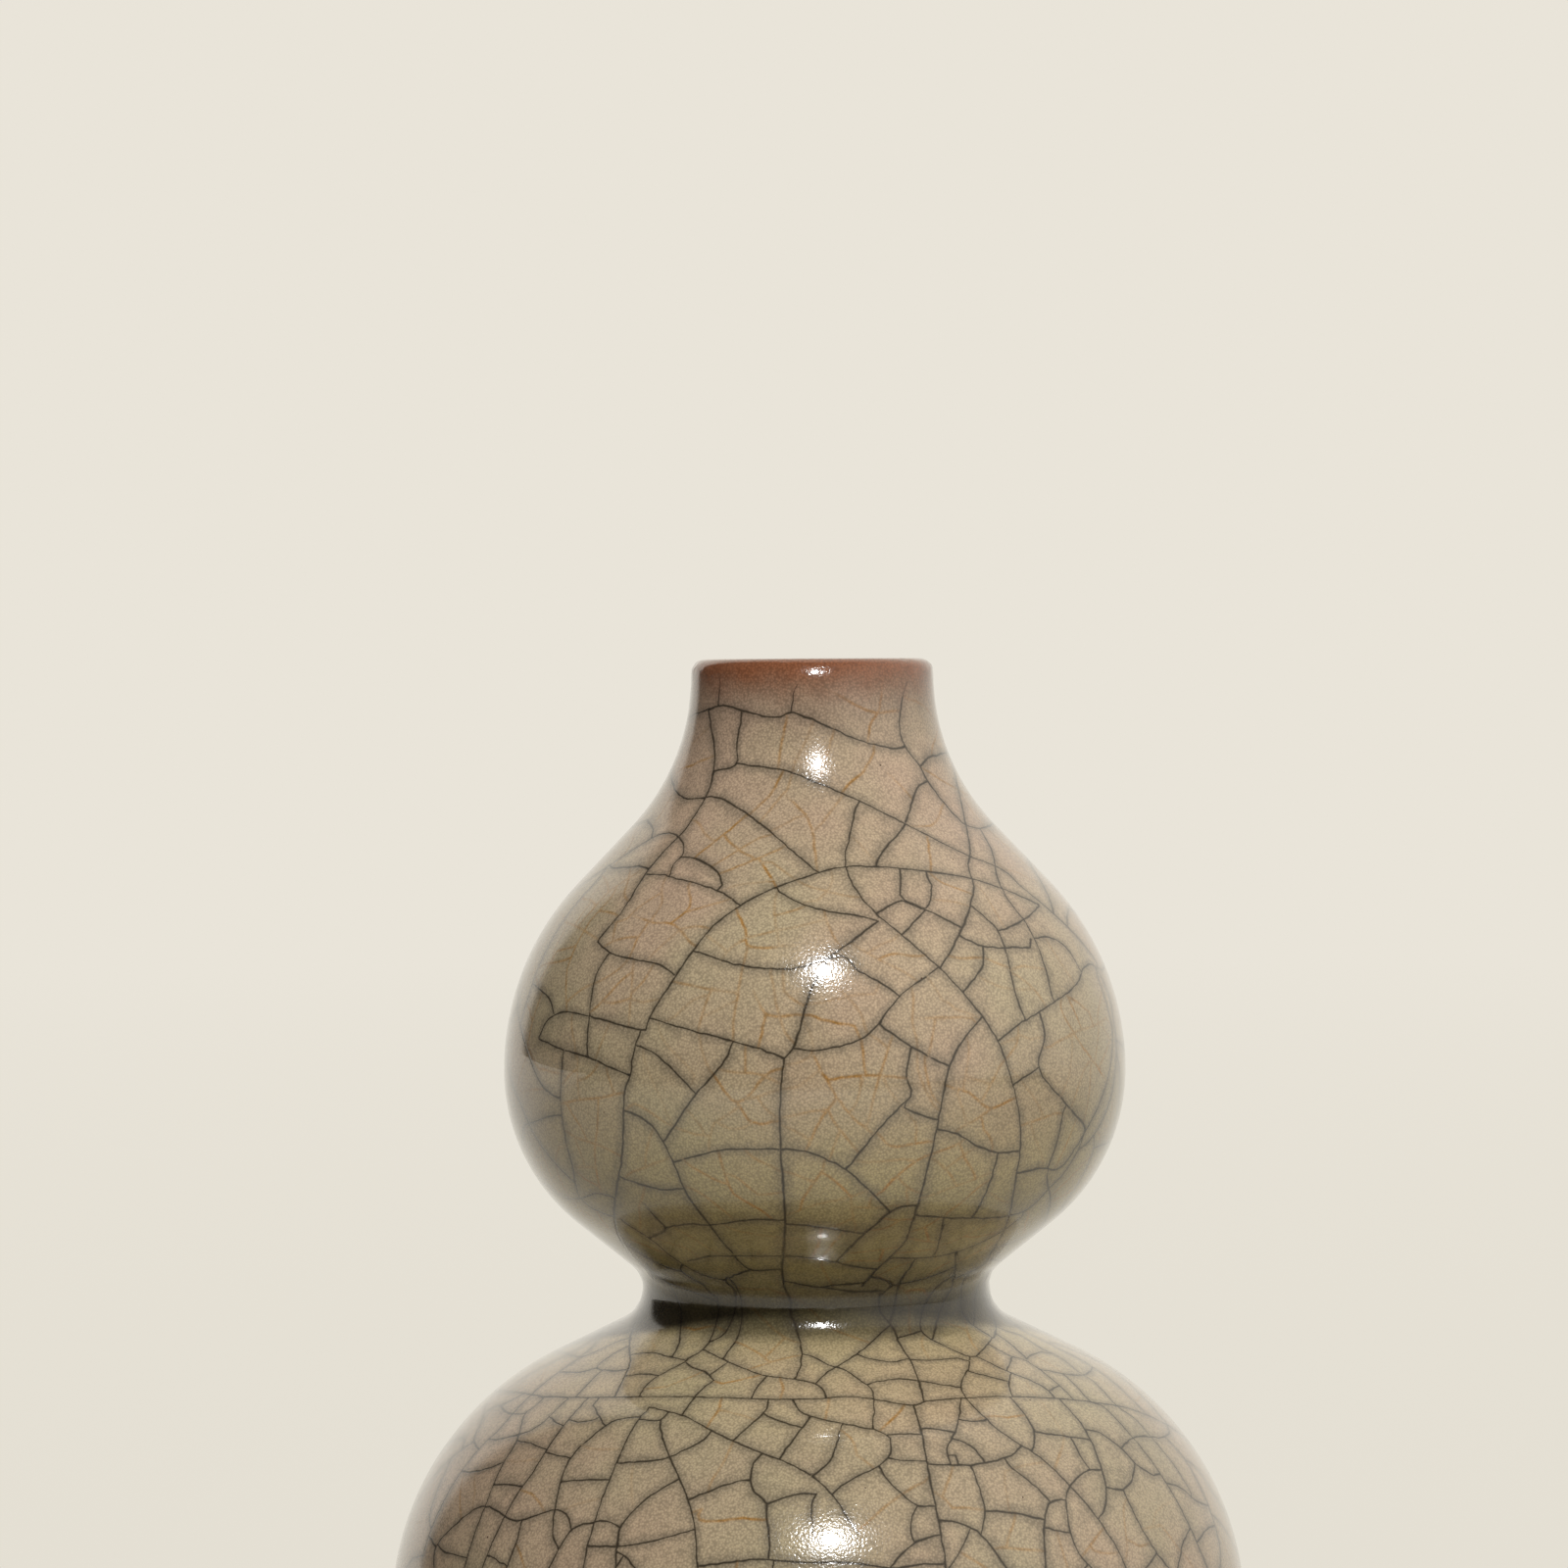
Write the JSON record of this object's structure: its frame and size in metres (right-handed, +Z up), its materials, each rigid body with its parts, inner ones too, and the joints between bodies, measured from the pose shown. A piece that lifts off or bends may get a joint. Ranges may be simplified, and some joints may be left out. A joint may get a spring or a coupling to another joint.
{
  "type": "double gourd vase",
  "caption": "Double gourd vase: crackle-glazed stoneware with a large lower bulb, pinched waist, smaller upper bulb, short flaring-shouldered neck and a turned foot ring.",
  "frame": {"origin": "centre of the foot ring's resting face, which is the middle of the bottom of the bounding box", "axes": "+Z up along the vase's axis of turning; X and Y are alike, with -Y towards the picture's viewpoint"},
  "size_m": [0.1482, 0.1482, 0.228],
  "materials": {
    "foot_ring_clay": "matte",
    "stoneware_body": "matte",
    "joining_slip": "matte",
    "outer_glaze": "gloss",
    "inner_glaze": "gloss",
    "base_glaze": "gloss"
  },
  "bodies": {
    "root": {"foot_ring": "foot_ring_clay", "lower_bowl": "stoneware_body", "lower_dome": "stoneware_body", "upper_bowl": "stoneware_body", "upper_dome": "stoneware_body", "neck": "stoneware_body", "foot_lute": "joining_slip", "lower_belly_lute": "joining_slip", "waist_lute": "joining_slip", "upper_belly_lute": "joining_slip", "neck_lute": "joining_slip", "outer_glaze": "outer_glaze", "inner_glaze": "inner_glaze", "base_glaze": "base_glaze"}
  },
  "joints": []
}
